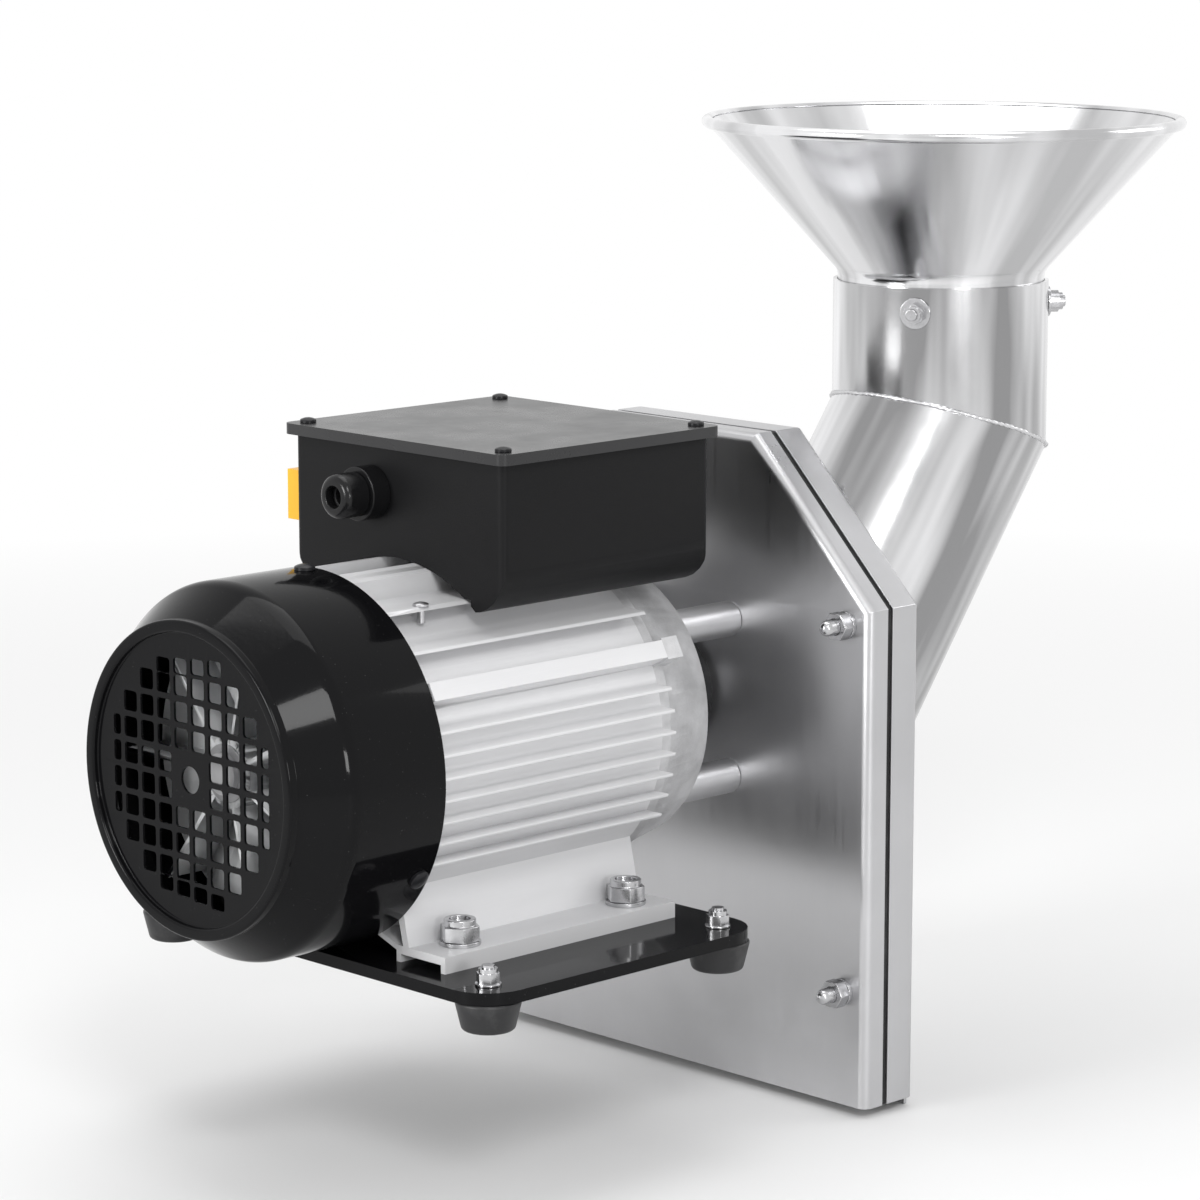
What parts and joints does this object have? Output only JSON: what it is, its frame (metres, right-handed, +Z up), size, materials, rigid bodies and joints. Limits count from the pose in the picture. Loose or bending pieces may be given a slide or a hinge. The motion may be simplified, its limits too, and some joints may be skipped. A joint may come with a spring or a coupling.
{
  "type": "fruit crusher",
  "caption": "Electric fruit crusher: a fan-cooled motor on a rubber-footed base plate turns a cutter disc in a steel housing fed by a funnel and a bent pipe.",
  "frame": {"origin": "centre of the bounding box's footprint, at the height of the housing cover's lowest edge", "axes": "+X along the motor's shaft from the fan to the crusher, +Y towards the switch's side, +Z up"},
  "size_m": [0.5886, 0.3162, 0.4914],
  "materials": {
    "black_enamel": "high gloss black enamel",
    "black_screw": "black oxide, glossy",
    "fan_plastic": "light grey moulding",
    "spring_steel": "plain spring steel",
    "cast_aluminium": "as cast, matt",
    "extruded_aluminium": "as extruded, satin",
    "zinc_steel": "zinc plated",
    "core_steel": "stacked sheet steel",
    "copper_wire": "varnished copper",
    "ground_steel": "ground",
    "black_rubber": "plain",
    "turned_steel": "turned stainless steel",
    "bright_fasteners": "bright stainless steel",
    "box_plastic": "fine grained moulding",
    "lid_plastic": "satin moulding",
    "gland_plastic": "glossy nylon",
    "capacitor_case": "plain moulding",
    "board_plastic": "resin board",
    "switch_plastic": "plain moulding",
    "red_plastic": "glossy",
    "yellow_plastic": "satin moulding",
    "green_plastic": "glossy",
    "foot_rubber": "moulded, satin",
    "housing_steel": "satin stainless sheet",
    "gasket_rubber": "plain",
    "cutter_steel": "stainless sheet",
    "pipe_steel": "polished stainless tube with a welded mitre",
    "funnel_steel": "spun stainless sheet, polished"
  },
  "bodies": {
    "root": {"fan_cowl": "black_enamel", "base_plate": "black_enamel", "cowl_screws": "black_screw", "lid_screws": "black_screw", "wave_washer": "spring_steel", "button_springs": "spring_steel", "rear_end_shield": "cast_aluminium", "front_end_shield": "cast_aluminium", "motor_frame": "extruded_aluminium", "shield_screws": "zinc_steel", "stator_core": "core_steel", "stator_windings": "copper_wire", "bearing_outer_races": "ground_steel", "shaft_seal": "black_rubber", "spacer_pillars": "turned_steel", "pillar_bolts": "bright_fasteners", "terminal_box": "box_plastic", "box_screws": "zinc_steel", "lid_gasket": "black_rubber", "box_lid": "lid_plastic", "cable_gland": "gland_plastic", "gland_nut": "gland_plastic", "gland_seal": "black_rubber", "capacitors": "capacitor_case", "capacitor_clips": "zinc_steel", "terminal_board": "board_plastic", "switch_body": "switch_plastic", "cover_hinge": "red_plastic", "cover_pin": "bright_fasteners", "earth_screw": "zinc_steel", "motor_foot_bolts": "bright_fasteners", "motor_foot_nuts": "bright_fasteners", "rubber_feet": "foot_rubber", "foot_studs": "bright_fasteners", "m6_nuts": "bright_fasteners", "flat_washers": "bright_fasteners", "housing_back": "housing_steel", "housing_gasket": "gasket_rubber", "housing_cover": "housing_steel", "housing_bolts": "bright_fasteners", "spring_washers": "bright_fasteners", "housing_nuts": "bright_fasteners", "housing_seal": "black_rubber", "feed_pipe": "pipe_steel", "funnel": "funnel_steel", "funnel_screws": "bright_fasteners"},
    "spindle": {"motor_shaft": "ground_steel", "rotor_core": "core_steel", "cooling_fan": "fan_plastic", "fan_circlip": "spring_steel", "bearing_inner_races": "ground_steel", "bearing_balls": "ground_steel", "shaft_key": "ground_steel", "cutter_hub": "turned_steel", "cutter_disc": "cutter_steel", "cutter_knives": "cutter_steel", "cutter_fasteners": "bright_fasteners"},
    "switch_cover": {"switch_cover": "yellow_plastic"},
    "start_button": {"start_button": "green_plastic"},
    "stop_button": {"stop_button": "red_plastic"}
  },
  "joints": [
    {"name": "spindle_turn", "type": "hinge", "parent": "root", "child": "spindle", "pos_m": [0, 0.0213, 0.2026], "axis": [1, 0, 0], "continuous": true},
    {"name": "switch_cover_flip", "type": "hinge", "parent": "root", "child": "switch_cover", "pos_m": [-0.1253, 0.1043, 0.3276], "axis": [1, 0, 0], "range_deg": [0, 110]},
    {"name": "start_press", "type": "slide", "parent": "root", "child": "start_button", "axis": [0, -1, 0], "range_m": [0, 0.003], "stiffness_N_per_m": 400},
    {"name": "stop_press", "type": "slide", "parent": "root", "child": "stop_button", "axis": [0, -1, 0], "range_m": [0, 0.003], "stiffness_N_per_m": 400}
  ]
}
